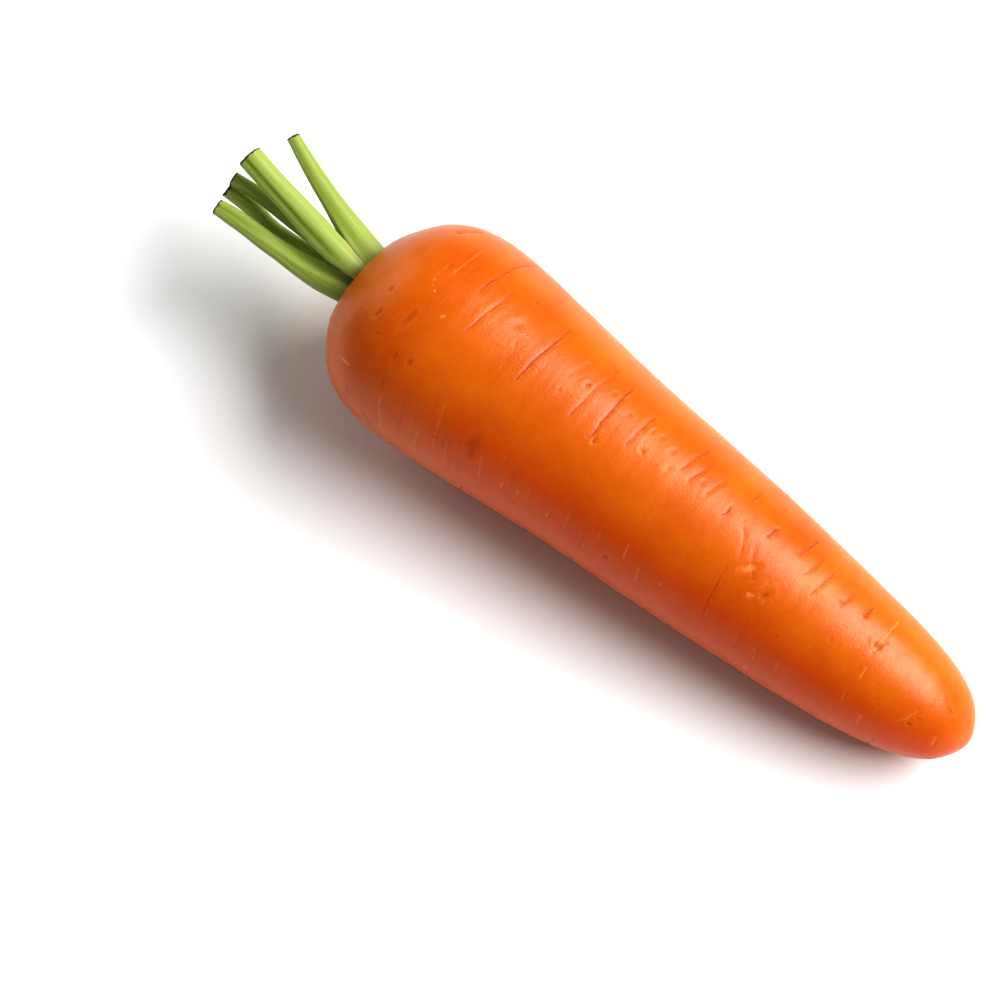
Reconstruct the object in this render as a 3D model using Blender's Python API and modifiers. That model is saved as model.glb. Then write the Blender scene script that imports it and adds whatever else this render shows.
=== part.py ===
"""A carrot, as picked: one stout, blunt-tipped root lying on its side, with its leaf stalks cut short.

The carrot is modelled along +X, from the rim of its crown to its tip. An empty then tips it to the
angle at which it lies by itself. The stalks stand in a shallow pit in the crown, on an empty that
is rolled about the root's axis, so that their points read as (along, across, forward)."""

import math
from itertools import combinations

import bmesh
import bpy
from mathutils import Vector

MM = 0.001

ROOT_STEPS = 48
SPAN_STEPS = 3
OVALITY = 0.012  # the root is this much wider than round, and this much less tall
BOW = 0.5 * MM  # how far the root strays sideways from a straight axis, most at BOW_PLACE
BOW_PLACE = 0.8  # as a share of the root's length
CROWN_LEAN = 0.035  # slope of the crown's face across the root
CROWN_SHIFT = 0.8 * MM  # how far the crown sits to one side of the axis
CROWN_LENGTH = 34.0 * MM  # how far down the root the lean and the shift fade out
RESTING_FLAT = 0.95 * MM  # how far the underside is flattened where the root rests

PIT_DEPTH = 2.6
PIT_RADIUS = 9.6
# Distance from the crown's rim, radius, both in millimetres, from the pit's middle to the tip.
ROOT_OUTLINE = [
    (PIT_DEPTH, 0.0), (PIT_DEPTH, PIT_RADIUS - 1.2), (PIT_DEPTH - 0.5, PIT_RADIUS),
    (0.5, PIT_RADIUS + 0.6), (0.0, 11.5), (0.5, 13.0), (2.1, 15.8), (6.2, 20.9),
    (11.0, 24.2), (16.0, 25.9), (22.5, 26.65), (31.0, 26.4), (50.0, 24.5), (68.0, 22.55),
    (88.0, 21.1), (110.0, 19.4), (130.0, 17.4), (148.0, 15.1), (158.0, 12.95), (165.0, 10.2),
    (170.0, 6.5), (173.0, 0.0),
]

COLLAR_RADIUS = 8.75
COLLAR_THICKNESS = 0.6
COLLAR_HEIGHT = 1.9
COLLAR_FOOT = PIT_DEPTH - 0.5  # how far below the crown's rim the collar stands
COLLAR_CHAMFER = 0.15
COLLAR_HEEL = 0.6

CROWN_ROLL = math.radians(13.2)
SECTION_POINTS = 16
STALK_FLATNESS = 0.8  # a stalk's thickness as a share of its width
STALK_GROOVE = 0.10  # depth of the channel along a stalk's inner side, as a share of its width
CURVE_STEPS = 4

# Along, across, forward and width, in millimetres, from the cut end to the base in the pit.
STALKS = {
    "stalk_right": [
        (-33.6, 15.7, 2.6, 3.1), (-25.8, 12.5, 2.1, 4.0), (-18.2, 9.7, 1.4, 4.8),
        (-7.4, 6.5, 0.5, 5.7), (1.6, 4.0, 0.1, 5.2),
    ],
    "stalk_centre": [
        (-37.5, 5.8, 8.2, 6.1), (-30.9, 4.5, 7.8, 6.0), (-22.7, 3.1, 7.2, 6.2),
        (-15.3, 1.8, 6.5, 6.5), (-7.5, 0.8, 5.4, 5.4), (1.8, 0.2, 4.4, 3.6),
    ],
    "stalk_back_upper": [
        (-38.7, -0.2, 2.4, 2.8), (-32.4, 0.5, 2.0, 2.9), (-21.8, 0.3, 0.6, 3.2),
        (-9.0, 0.2, -2.0, 3.4), (1.8, 0.2, -3.0, 3.2),
    ],
    "stalk_back_lower": [
        (-39.2, -2.8, -1.2, 3.0), (-31.8, -2.9, -3.6, 3.1), (-26.5, -3.9, -4.6, 3.3),
        (-20.8, -3.6, -5.2, 3.4), (-9.0, -2.4, -6.0, 3.6), (1.6, -2.6, -5.8, 3.6),
    ],
    "stalk_left": [
        (-37.7, -7.8, 2.2, 3.8), (-33.6, -7.4, 2.2, 4.4), (-20.2, -7.0, 1.9, 4.7),
        (-8.5, -6.1, 1.2, 5.5), (1.5, -4.4, 0.6, 5.3),
    ],
    "young_stalk_stub": [
        (-19.4, 3.8, -1.6, 2.1), (-10.9, 3.4, -3.6, 3.0), (1.8, 3.6, -4.8, 3.0),
    ],
}


def remove_scene_objects():
    for obj in list(bpy.data.objects):
        bpy.data.objects.remove(obj, do_unlink=True)


def new_collection(name):
    collection = bpy.data.collections.new(name)
    bpy.context.scene.collection.children.link(collection)
    return collection


def new_material(name, colour, roughness):
    material = bpy.data.materials.new(name)
    material.use_nodes = True
    shader = material.node_tree.nodes["Principled BSDF"]
    shader.inputs["Base Color"].default_value = (*colour, 1.0)
    shader.inputs["Roughness"].default_value = roughness
    shader.inputs["Metallic"].default_value = 0.0
    return material


def new_empty(name, collection, parent=None):
    empty = bpy.data.objects.new(name, None)
    empty.empty_display_size = 0.02
    empty.parent = parent
    collection.objects.link(empty)
    return empty


def smooth_line(points, steps):
    """Points on a Catmull-Rom curve through points, whose first and last lie on the turning axis."""
    line = [Vector(point) for point in points]
    before = Vector((line[1].x, -line[1].y))
    after = Vector((line[-2].x, -line[-2].y))
    knots = [before, *line, after]
    found = [line[0]]
    for a, b, c, d in zip(knots, knots[1:], knots[2:], knots[3:]):
        for step in range(1, steps + 1):
            t = step / steps
            found.append(0.5 * (2 * b + (c - a) * t + (2 * a - 5 * b + 4 * c - d) * t**2
                                + (3 * b - a - 3 * c + d) * t**3))
    return found


def turned(name, outline, steps, closed=False):
    """A solid turned about X from (along, radius) points, as a plain mesh."""
    mesh = bpy.data.meshes.new(name + "_profile")
    verts = [(radius, 0.0, -along) for along, radius in outline]
    ends = [(len(verts) - 1, 0)] if closed else []
    mesh.from_pydata(verts, [(i, i + 1) for i in range(len(verts) - 1)] + ends, [])
    profile = bpy.data.objects.new(name + "_profile", mesh)
    bpy.context.scene.collection.objects.link(profile)
    screw = profile.modifiers.new("turn", "SCREW")
    screw.axis = "Z"
    screw.steps = steps
    screw.render_steps = steps
    screw.use_merge_vertices = True
    screw.merge_threshold = 0.00001
    screw.use_smooth_shade = True
    profile.rotation_euler.y = -math.pi / 2
    return made_mesh(name, profile)


def made_mesh(name, source):
    """The evaluated source as a closed mesh with its place in its points. The source is removed."""
    bpy.context.view_layer.update()
    evaluated = source.evaluated_get(bpy.context.evaluated_depsgraph_get())
    mesh = bpy.data.meshes.new_from_object(evaluated)
    mesh.name = name
    mesh.transform(source.matrix_world)
    bpy.data.objects.remove(source, do_unlink=True)
    work = bmesh.new()
    work.from_mesh(mesh)
    bmesh.ops.remove_doubles(work, verts=work.verts, dist=0.00001)
    bmesh.ops.recalc_face_normals(work, faces=work.faces)
    work.to_mesh(mesh)
    work.free()
    mesh.materials.clear()
    mesh.shade_smooth()
    mesh.set_sharp_from_angle(angle=math.radians(50))
    return mesh


def added(mesh, collection, parent, material):
    obj = bpy.data.objects.new(mesh.name, mesh)
    mesh.materials.append(material)
    obj.parent = parent
    collection.objects.link(obj)
    return obj


def grown_unevenly(mesh):
    """Makes turned pieces of the root slightly oval, leans the crown, and bows it to one side."""
    length = ROOT_OUTLINE[-1][0] * MM
    power = math.log(0.5) / math.log(BOW_PLACE)
    for vert in mesh.vertices:
        share = min(max(vert.co.x / length, 0.0), 1.0)
        fade = min(max(1.0 - vert.co.x / CROWN_LENGTH, 0.0), 1.0)
        vert.co.x += CROWN_LEAN * fade * vert.co.y
        vert.co.y = vert.co.y * (1 + OVALITY) - BOW * math.sin(math.pi * share**power)
        vert.co.y -= CROWN_SHIFT * fade**2
        vert.co.z *= 1 - OVALITY


def resting_line():
    """The line under the root that bridges the two rings it rests on: its depth at the rim, its slope."""
    rings = [(along * MM, radius * MM * (1 - OVALITY))
             for along, radius in smooth_line(ROOT_OUTLINE, SPAN_STEPS)]
    volume = sum(radius**2 for _, radius in rings)
    balance = sum(along * radius**2 for along, radius in rings) / volume
    bridges = []
    for (x0, r0), (x1, r1) in combinations(sorted(rings), 2):
        if x0 < balance < x1:
            slope = (r1 - r0) / (x1 - x0)
            bridges.append((r0 + slope * (balance - x0), slope))
    depth, slope = max(bridges)
    return depth - slope * balance, slope


def flattened_below(mesh):
    """Flattens the underside by RESTING_FLAT, so that the root lies still."""
    depth, slope = resting_line()
    for vert in mesh.vertices:
        vert.co.z = max(vert.co.z, RESTING_FLAT - depth - slope * vert.co.x)


def make_root(collection, parent):
    outline = [point * MM for point in smooth_line(ROOT_OUTLINE, SPAN_STEPS)]
    mesh = turned("carrot_root", outline, ROOT_STEPS)
    grown_unevenly(mesh)
    flattened_below(mesh)
    skin = new_material("carrot_skin", (0.86, 0.20, 0.022), 0.45)
    added(mesh, collection, parent, skin)


def make_collar(collection, parent):
    """The thin dry ring of old leaf bases around the stalks, standing in the pit."""
    inner = COLLAR_RADIUS
    outer = COLLAR_RADIUS + COLLAR_THICKNESS
    high = COLLAR_FOOT - COLLAR_HEIGHT
    ring = [(high, inner + COLLAR_CHAMFER), (high, outer - COLLAR_CHAMFER),
            (COLLAR_FOOT - COLLAR_HEEL, outer), (COLLAR_FOOT, outer - COLLAR_CHAMFER),
            (COLLAR_FOOT, inner)]
    outline = [Vector(point) * MM for point in ring]
    dry = new_material("dry_leaf_base", (0.30, 0.24, 0.07), 0.8)
    mesh = turned("crown_collar", outline, ROOT_STEPS, closed=True)
    grown_unevenly(mesh)
    added(mesh, collection, parent, dry)


def stalk_section(collection):
    """One closed outline of unit width, with a channel on the side that faces the root's axis."""
    data = bpy.data.curves.new("stalk_section", "CURVE")
    data.dimensions = "2D"
    spline = data.splines.new("POLY")
    spline.points.add(SECTION_POINTS - 1)
    for i, point in enumerate(spline.points):
        turn = 2 * math.pi * i / SECTION_POINTS
        dip = STALK_GROOVE * max(0.0, -math.sin(turn)) ** 4
        point.co = (0.5 * math.cos(turn), (0.5 * STALK_FLATNESS + dip) * math.sin(turn)
                    + 2 * dip, 0.0, 1.0)
    spline.use_cyclic_u = True
    section = bpy.data.objects.new("stalk_section", data)
    section.hide_render = True
    section.display_type = "WIRE"
    collection.objects.link(section)
    return section


def stalk_mesh(name, route, section):
    data = bpy.data.curves.new(name + "_path", "CURVE")
    data.dimensions = "3D"
    data.twist_mode = "Z_UP"
    data.resolution_u = CURVE_STEPS
    data.bevel_mode = "OBJECT"
    data.bevel_object = section
    data.use_fill_caps = True
    spline = data.splines.new("BEZIER")
    spline.radius_interpolation = "CARDINAL"
    spline.bezier_points.add(len(route) - 1)
    for point, (along, across, forward, width) in zip(spline.bezier_points, route):
        point.co = Vector((along, across, forward)) * MM
        point.radius = width * MM
        point.handle_left_type = "AUTO"
        point.handle_right_type = "AUTO"
    path = bpy.data.objects.new(name + "_path", data)
    bpy.context.scene.collection.objects.link(path)
    return made_mesh(name, path)


def make_stalks(collection, guides, parent):
    section = stalk_section(guides)
    for name, route in STALKS.items():
        green = new_material(name + "_skin", (0.38, 0.52, 0.07), 0.5)
        added(stalk_mesh(name, route, section), collection, parent, green)


def world_corners(objects):
    graph = bpy.context.evaluated_depsgraph_get()
    points = [obj.matrix_world @ vert.co for obj in objects if obj.type == "MESH"
              for vert in obj.evaluated_get(graph).data.vertices]
    low = Vector(min(point[i] for point in points) for i in range(3))
    high = Vector(max(point[i] for point in points) for i in range(3))
    return low, high


def main():
    remove_scene_objects()
    carrot = new_collection("carrot")
    guides = new_collection("guides")
    lying = new_empty("lying_axis", carrot)
    lying.rotation_euler.y = math.atan(-resting_line()[1])
    crown = new_empty("crown_axis", carrot, parent=lying)
    crown.rotation_euler.x = CROWN_ROLL
    make_root(carrot, lying)
    make_collar(carrot, lying)
    make_stalks(carrot, guides, crown)
    bpy.context.view_layer.update()
    low, high = world_corners(carrot.objects)
    middle = (low + high) / 2
    lying.location = (-middle.x, -middle.y, -low.z)
    bpy.context.view_layer.update()


main()
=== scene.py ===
import math
import random
from collections import Counter

import bmesh
import bpy
from bpy.props import FloatProperty, FloatVectorProperty, IntProperty, PointerProperty
from mathutils import Matrix, Vector


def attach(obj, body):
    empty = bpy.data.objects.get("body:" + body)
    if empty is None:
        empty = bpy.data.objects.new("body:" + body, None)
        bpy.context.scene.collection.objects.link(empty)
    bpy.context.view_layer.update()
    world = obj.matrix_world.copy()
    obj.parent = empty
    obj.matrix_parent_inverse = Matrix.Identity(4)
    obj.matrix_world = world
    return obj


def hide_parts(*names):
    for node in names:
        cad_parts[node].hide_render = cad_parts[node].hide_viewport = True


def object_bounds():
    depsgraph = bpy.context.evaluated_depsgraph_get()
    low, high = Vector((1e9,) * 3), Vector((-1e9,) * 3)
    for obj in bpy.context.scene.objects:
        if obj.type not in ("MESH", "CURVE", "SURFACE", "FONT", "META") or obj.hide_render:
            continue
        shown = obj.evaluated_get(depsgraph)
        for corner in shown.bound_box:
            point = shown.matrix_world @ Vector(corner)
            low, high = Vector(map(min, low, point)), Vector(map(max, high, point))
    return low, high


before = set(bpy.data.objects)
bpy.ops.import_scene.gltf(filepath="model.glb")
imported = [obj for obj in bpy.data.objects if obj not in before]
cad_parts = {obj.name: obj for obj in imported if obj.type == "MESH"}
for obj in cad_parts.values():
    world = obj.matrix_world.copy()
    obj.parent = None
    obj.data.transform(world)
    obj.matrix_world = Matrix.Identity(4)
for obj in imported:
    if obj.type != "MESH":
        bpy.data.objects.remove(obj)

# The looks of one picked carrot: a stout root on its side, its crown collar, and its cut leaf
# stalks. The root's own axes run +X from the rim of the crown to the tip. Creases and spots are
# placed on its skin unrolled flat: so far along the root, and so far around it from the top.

bl_info = {
    "name": "Picked Carrot",
    "version": (1, 0, 0),
    "blender": (4, 5, 0),
    "location": "View3D > Sidebar > Carrot",
    "description": "Grows a carrot's root, collar and cut leaf stalks, and sets up a plain studio",
    "category": "Object",
}

MM = 0.001
CAD_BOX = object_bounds()
BODY = "root"
SEED = 7
WELD = 0.01 * MM  # points closer than this are joined
FINE_WELD = 0.004 * MM

PIT_DEPTH = 2.6 * MM  # from the crown's rim to the floor of its pit
CROWN_ROLL = math.radians(13.2)  # the turn of the whole tuft about the root's axis
POLE_EDGES = 20  # a point of the root's CAD mesh with more edges than this is a pole
SMOOTHING = 3  # subdivisions of the CAD root before the fine sheet is cast onto it
UNROLL_RADIUS = 20.0 * MM  # the skin is unrolled as if from a tube of this radius
SEAM = 174  # how far round, in degrees, a scattered crease may reach
HIDDEN_SPOTS = 60
FAINT_SPOTS = 70

CREASE_POINTS = 25  # along each crease line
STRAY_SIZE = 3.2 * MM  # of the wanderings of a crease line
BREAK_SIZE = 2.6 * MM  # of its stronger and weaker stretches
LIP_DISTANCE = 1.3 * MM  # from a crease to the low ridge beside it
LIP_WIDTH = 0.8 * MM
LIP_HEIGHT = 0.2  # of the crease's depth
SLUMP_WIDTH = 2.2 * MM  # of the shallow dip that a crease lies in
SLUMP_DEPTH = 0.32  # of the crease's depth
SPOT_PIT_WIDTH = 0.75  # as a share of the spot, as the next two are
SPOT_RIM_DISTANCE = 1.7
SPOT_RIM_WIDTH = 0.5
SPOT_RIM_HEIGHT = 0.25  # of the spot's depth

# Where each of these starts and where it is full. The first is the sine of the angle round from the
# top, and the others are shares of the way from the pit's middle to the tip.
# Painted shade: the shaded underside's redder orange, painted low on one side of the root and weaker
# towards the crown.
PAINTED_SHADE_SIDE = (-0.40, -0.95)
PAINTED_SHADE_START = (0.12, 0.34)
CROWN_TINTED = (0.082, 0.050)
PIT_TINTED = (0.044, 0.034)
CLEAR_OF_PIT = (0.075, 0.115)
CLEAR_OF_TIP = (1.0, 0.985)

SENSOR_WIDTH = 36.0  # of the camera, in millimetres
FLOOR_HALF_SIZE = 3.0
FLOOR_CLOUD = (0.8, 0.8, 0.8)  # the floor's duller patches
# Each lamp: the way to it from the carrot, how far off it is, and its length and width, in metres.
LAMPS = {
    "key": ((0.485, 0.447, 0.751), 1.60, (1.45, 0.95)),
    "side": ((-0.90, 0.12, 0.38), 0.90, (0.70, 0.50)),
}

# Each crease: how far its middle is along (mm) and around (degrees), the degrees it spans, its rise
# over that span, its bow and its depth (mm), and its tone, from 1 for stained to -1 for pale cork.
CREASES = [
    (14.3, 49, 15, 4.1, 0.0, 0.28, 0.6), (19.5, 27, 31, 1.7, 0.0, 0.10, -0.7),
    (28.0, 38, 51, 4.5, -0.4, 0.26, 0.7), (30.8, 10, 37, 2.7, -0.3, 0.20, 0.6),
    (45.7, 13, 50, 2.4, -0.2, 0.26, 0.8), (53.8, 18, 18, 2.3, 0.0, 0.10, 0.3),
    (59.6, 14, 47, 2.5, -0.2, 0.20, 0.5), (65.4, 11, 44, 0.6, -0.3, 0.28, 0.8),
    (72.8, 14, 29, 1.6, 0.0, 0.30, 0.6), (86.1, 21, 30, 2.6, 0.0, 0.30, 0.6),
    (88.9, 20, 26, 2.2, 0.2, 0.26, 0.5), (93.6, 20, 24, 2.0, 0.4, 0.24, 0.3),
    (98.2, 8, 10, 0.3, 0.8, 0.26, 0.9), (102.1, 33, 13, 0.9, 0.0, 0.26, 0.6),
    (109.6, 18, 12, 0.9, 0.0, 0.30, 0.9), (104.6, 2, 24, -5.2, 0.6, 0.15, 0.45),
    (111.0, -8, 28, -6.0, -0.9, 0.14, 0.45), (118.0, 29, 24, 1.8, 0.0, 0.38, 0.7),
    (121.4, 20, 26, 1.6, 0.2, 0.32, 0.4), (125.2, 14, 30, 1.6, 0.0, 0.32, 0.7),
    (131.4, 17, 24, 1.2, 0.3, 0.26, 0.4), (137.1, 21, 15, 0.6, 0.0, 0.32, 0.9),
    (143.2, 16, 48, 0.9, 0.0, 0.24, -0.6), (143.9, 5, 14, 0.9, 0.0, 0.34, 0.7),
    (14.5, -73, 6, -2.0, 0.0, 0.18, 0.8), (21.1, -82, 9, -2.4, 0.0, 0.22, 0.8),
    (20.9, -50, 12, -1.5, 0.0, 0.12, 0.6), (23.9, -73, 31, -4.3, 0.0, 0.12, -0.7),
    (28.2, -61, 25, -2.9, 0.0, 0.14, 0.5), (33.4, -43, 15, -1.8, 0.0, 0.08, 0.4),
    (36.6, -55, 32, -2.9, 0.0, 0.12, -0.5), (33.8, -75, 24, -1.3, 0.0, 0.12, -0.6),
    (49.3, -61, 19, -2.0, 0.0, 0.12, -0.6), (45.8, -33, 11, -1.1, 0.0, 0.08, 0.3),
    (86.4, -52, 13, -1.0, 0.0, 0.16, -0.8), (91.4, -62, 13, -1.0, 0.0, 0.14, -0.8),
    (107.4, -43, 34, -2.4, 0.0, 0.20, 0.6), (117.8, -56, 28, -1.2, 0.0, 0.14, 0.4),
    (122.6, -62, 13, -1.0, 0.0, 0.14, -0.7), (128.3, -60, 12, -0.8, 0.0, 0.12, -0.7),
    (144.0, -22, 12, -0.4, 0.0, 0.14, -0.8), (143.6, -46, 16, -0.8, 0.0, 0.10, -0.6),
    (149.9, -62, 15, -0.8, 0.0, 0.16, -0.9), (157.5, -30, 26, 2.4, 0.6, 0.12, -0.5),
    (165.8, -42, 18, -0.6, 0.2, 0.14, -0.8), (26.0, -58, 9, -0.8, 0.0, 0.08, 0.35),
    (31.5, -66, 14, -1.1, 0.0, 0.08, -0.4), (40.6, -66, 20, -1.6, 0.2, 0.09, -0.45),
    (42.9, -72, 18, -1.4, 0.0, 0.08, 0.35), (53.1, -50, 12, -0.9, 0.1, 0.07, -0.4),
    (56.8, -58, 20, -1.3, 0.0, 0.10, 0.4), (61.4, -60, 11, -0.8, 0.2, 0.08, -0.5),
    (64.5, -47, 9, -0.6, 0.0, 0.06, 0.3), (71.9, -59, 16, -1.1, 0.0, 0.10, -0.5),
    (76.8, -64, 18, -1.2, 0.1, 0.10, 0.45), (79.5, -54, 9, -0.6, 0.0, 0.08, -0.4),
    (16.2, 12, 12, 0.9, 0.2, 0.08, -0.5), (17.3, 16, 9, 0.7, 0.0, 0.09, 0.4),
    (21.8, 20, 14, 1.1, -0.2, 0.10, 0.4), (105.9, -22, 9, -0.4, 0.4, 0.12, 0.45),
    (108.3, -17, 7, 0.3, 0.0, 0.10, -0.6), (112.6, -19, 10, -0.5, -0.4, 0.12, 0.4),
    (114.8, -14, 8, 0.4, 0.3, 0.10, -0.5), (117.2, -24, 6, -0.2, 0.0, 0.10, -0.6),
]

# Each spot: along (mm), around (degrees), half its length around and half its width along (mm), its
# turn (degrees), its depth (mm) and its tone, as for the creases.
SPOTS = [
    (10.0, -11, 0.9, 0.6, 25, 0.22, 0.8), (11.1, -25, 1.5, 0.45, 20, 0.22, 0.8),
    (13.8, -33, 0.5, 0.4, 0, 0.12, 0.6), (14.0, -20, 0.6, 0.4, 0, 0.10, 0.4),
    (17.6, -17, 2.6, 0.9, 12, 0.12, 0.45), (23.7, -34, 1.0, 0.8, 0, 0.12, 0.6),
    (20.1, -37, 1.4, 0.5, 0, 0.12, 0.5), (8.0, -3, 0.6, 0.3, 0, 0.10, 0.5),
    (37.1, 33, 0.9, 0.5, 70, 0.18, 0.8), (37.2, 14, 1.7, 1.0, 65, 0.14, 0.3),
    (39.4, 6, 0.6, 0.4, 60, 0.12, 0.5), (53.3, 1, 0.5, 0.5, 0, 0.16, 0.7),
    (57.4, 14, 1.0, 0.45, 60, 0.30, 1.0), (63.3, 21, 1.0, 0.45, 50, 0.16, 0.6),
    (68.7, 17, 0.8, 0.6, 50, 0.14, 0.5), (66.3, -9, 0.8, 0.6, 0, 0.24, 0.9),
    (75.9, 4, 1.0, 0.45, 100, 0.22, 0.8), (75.1, 19, 1.3, 0.35, 20, 0.16, 0.6),
    (77.5, 19, 0.8, 0.5, 60, 0.16, 0.6), (81.3, 17, 1.0, 0.5, 70, 0.18, 0.6),
    (83.0, 6, 1.6, 0.5, 60, 0.16, 0.5), (90.4, 13, 1.1, 0.6, 60, 0.16, 0.5),
    (92.8, 9, 0.9, 0.5, 30, 0.16, 0.5), (116.5, -20, 1.5, 1.0, 20, 0.26, 0.5),
    (114.0, -26, 1.2, 0.8, 60, 0.24, -0.7), (110.2, -12, 2.2, 1.0, 40, 0.24, -0.5),
    (130.7, 12, 1.0, 0.8, 40, 0.24, 0.6), (134.0, -17, 0.7, 0.4, 0, 0.14, 0.5),
    (124.1, -39, 0.6, 0.5, 0, 0.20, 0.8), (142.8, 3, 1.0, 0.9, 0, 0.40, 1.0),
    (164.6, 3, 1.4, 0.6, 95, 0.30, 1.0), (160.0, -27, 0.9, 0.4, 60, 0.20, 0.8),
    (159.0, -37, 0.8, 0.7, 20, 0.26, 0.8), (170.8, -26, 0.9, 0.5, 90, 0.20, 0.7),
    (150.8, -37, 0.8, 0.4, 90, 0.14, 0.6), (39.7, -60, 2.0, 1.8, 0, 0.04, 0.25),
    (45.5, -49, 3.2, 1.7, 8, 0.05, 0.4), (46.2, -57, 1.6, 1.5, 0, 0.06, 0.5),
    (10.6, -60, 2.2, 0.4, 75, 0.06, -0.8), (18.2, 1, 0.4, 0.35, 0, 0.06, -0.9),
    (23.3, -7, 0.8, 0.4, 40, 0.06, -0.7), (37.1, -61, 0.5, 1.0, 0, 0.08, 0.5),
    (55.4, -64, 0.9, 0.3, 0, 0.08, -0.7), (59.3, -62, 0.9, 0.3, 0, 0.08, -0.7),
    (67.4, -63, 0.8, 0.3, 0, 0.08, -0.7), (83.6, -65, 1.1, 0.9, 0, 0.14, 0.9),
    (96.9, -57, 0.7, 0.3, 0, 0.08, -0.6), (23.3, -63, 1.0, 0.4, 0, 0.08, 0.5),
]

# Each stalk's route, in millimetres on the root's own axes: along, across, forward and the width
# there, from the cut end to the base in the crown's pit.
STALKS = {
    "stalk_right": [
        (-33.6, 15.7, 2.6, 3.1), (-25.8, 12.5, 2.1, 4.0), (-18.2, 9.7, 1.4, 4.8),
        (-7.4, 6.2, 0.5, 6.7), (-1.5, 4.6, 0.3, 7.4), (1.6, 3.8, 0.1, 7.2),
    ],
    "stalk_centre": [
        (-37.5, 5.8, 8.2, 6.1), (-30.9, 4.5, 7.8, 6.0), (-22.7, 3.1, 7.2, 6.2),
        (-15.3, 1.8, 6.5, 6.7), (-8.5, 0.8, 5.6, 6.4), (-3.0, 0.3, 4.9, 4.6),
        (1.8, 0.1, 4.2, 2.4),
    ],
    "stalk_back_upper": [
        (-38.7, -0.4, 2.4, 3.6), (-32.4, 0.3, 2.0, 3.5), (-21.8, 0.3, 0.6, 3.6),
        (-9.0, 0.2, -2.0, 3.7), (1.8, 0.2, -3.0, 3.4),
    ],
    "stalk_back_lower": [
        (-39.2, -2.9, -0.9, 3.9), (-31.8, -2.9, -2.8, 4.2), (-26.5, -3.8, -4.4, 4.2),
        (-20.8, -3.6, -5.2, 4.0), (-9.0, -2.4, -6.0, 3.9), (1.6, -2.6, -5.8, 3.8),
    ],
    "stalk_left": [
        (-37.7, -7.8, 2.2, 3.8), (-33.6, -7.4, 2.2, 4.4), (-20.2, -7.0, 1.9, 4.7),
        (-8.5, -6.0, 1.2, 6.4), (-2.5, -4.8, 0.9, 6.9), (1.5, -4.0, 0.6, 6.6),
    ],
    "young_stalk_stub": [
        (-19.4, 3.8, -1.6, 2.1), (-10.9, 3.4, -3.6, 3.0), (1.8, 3.6, -4.8, 3.0),
    ],
}

# What sets each stalk apart: its ribs, the channel along it, the sheath edge beside it, and its
# painted shade, a darker green for the stalks that lie in the others' shadow.
STALK_LOOKS = {
    "stalk_right": {"Ribs": 5, "Rib Depth": 0.05, "Wing Turn": 0.8, "Wing Height": 0.14,
                    "Wing Start": 0.52, "Shade": 0.0, "Seed": 1.0},
    "stalk_centre": {"Ribs": 4, "Rib Depth": 0.04, "Channel Turn": 0.75, "Channel Depth": 0.17,
                     "Channel End": 0.8, "Shade": 0.0, "Seed": 2.0},
    "stalk_back_upper": {"Ribs": 5, "Rib Depth": 0.06, "Channel Turn": 1.3, "Channel Depth": 0.10,
                         "Shade": 0.0, "Seed": 3.0},
    "stalk_back_lower": {"Ribs": 4, "Rib Depth": 0.05, "Wing Turn": 0.4, "Wing Height": 0.10,
                         "Wing Start": 0.35, "Shade": 0.15, "Seed": 4.0},
    "stalk_left": {"Ribs": 7, "Rib Depth": 0.055, "Channel Turn": 0.1, "Channel Depth": 0.10,
                   "Channel End": 0.35, "Shade": 0.0, "Seed": 5.0},
    "young_stalk_stub": {"Ribs": 5, "Rib Depth": 0.06, "Shade": 0.4, "Seed": 6.0},
}


# ---- settings ----------------------------------------------------------------------------------


def length(name, description, default):
    return FloatProperty(name=name, description=description, default=default, min=0.0,
                         unit="LENGTH", precision=5)


def share(name, description, default, most=1.0):
    return FloatProperty(name=name, description=description, default=default, min=0.0, max=most,
                         subtype="FACTOR")


def colour(name, description, default):
    return FloatVectorProperty(name=name, description=description, default=default, size=3,
                               min=0.0, max=1.0, subtype="COLOR")


class RootSettings(bpy.types.PropertyGroup):
    rings: IntProperty(name="Rings", description="Rings of points from crown to tip",
                       default=490, min=60, max=500)
    columns: IntProperty(name="Columns", description="Points around the root",
                         default=192, min=48, max=200)
    crease_width: length("Crease Width", "Half the width of a crease's floor", 0.25 * MM)
    crease_depth: share("Crease Depth", "Depth of every crease, against its own", 0.8, 3.0)
    swelling: length("Swelling", "How far the skin between creases swells", 0.16 * MM)
    unevenness: length("Unevenness", "How far the root strays from a smooth form", 0.30 * MM)
    hidden_creases: IntProperty(name="Scattered Creases",
                                description="Creases scattered over the side without placed ones",
                                default=70, min=0)
    fine_creases: IntProperty(name="Fine Creases", description="Faint lines scattered all over",
                              default=100, min=0)
    deep_orange: colour("Deep Orange", "Skin in its darker patches", (0.52, 0.074, 0.0016))
    orange: colour("Orange", "Most of the skin", (0.63, 0.134, 0.0022))
    light_orange: colour("Light Orange", "Skin in its lighter patches", (0.71, 0.190, 0.0050))
    # Painted shade: the redder, deeper orange that the skin shows low on its shaded side.
    painted_shade_orange: colour("Painted Shade Orange", "Skin low on one side", (0.80, 0.088, 0.0012))
    crown_tint: colour("Crown Tint", "Skin beside the leaf stalks", (0.50, 0.130, 0.002))
    pit_brown: colour("Pit Brown", "Skin down in the crown's pit", (0.20, 0.115, 0.010))
    crease_brown: colour("Crease Brown", "Soil-stained creases and pits", (0.42, 0.050, 0.003))
    # Pale cork colour, also used for the painted highlight along the creases' lips.
    pale_cork_and_glint: colour("Pale Cork And Glint", "Corky lines and healed nicks", (0.95, 0.42, 0.130))
    roughness: share("Roughness", "Of the skin", 0.27)


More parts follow.
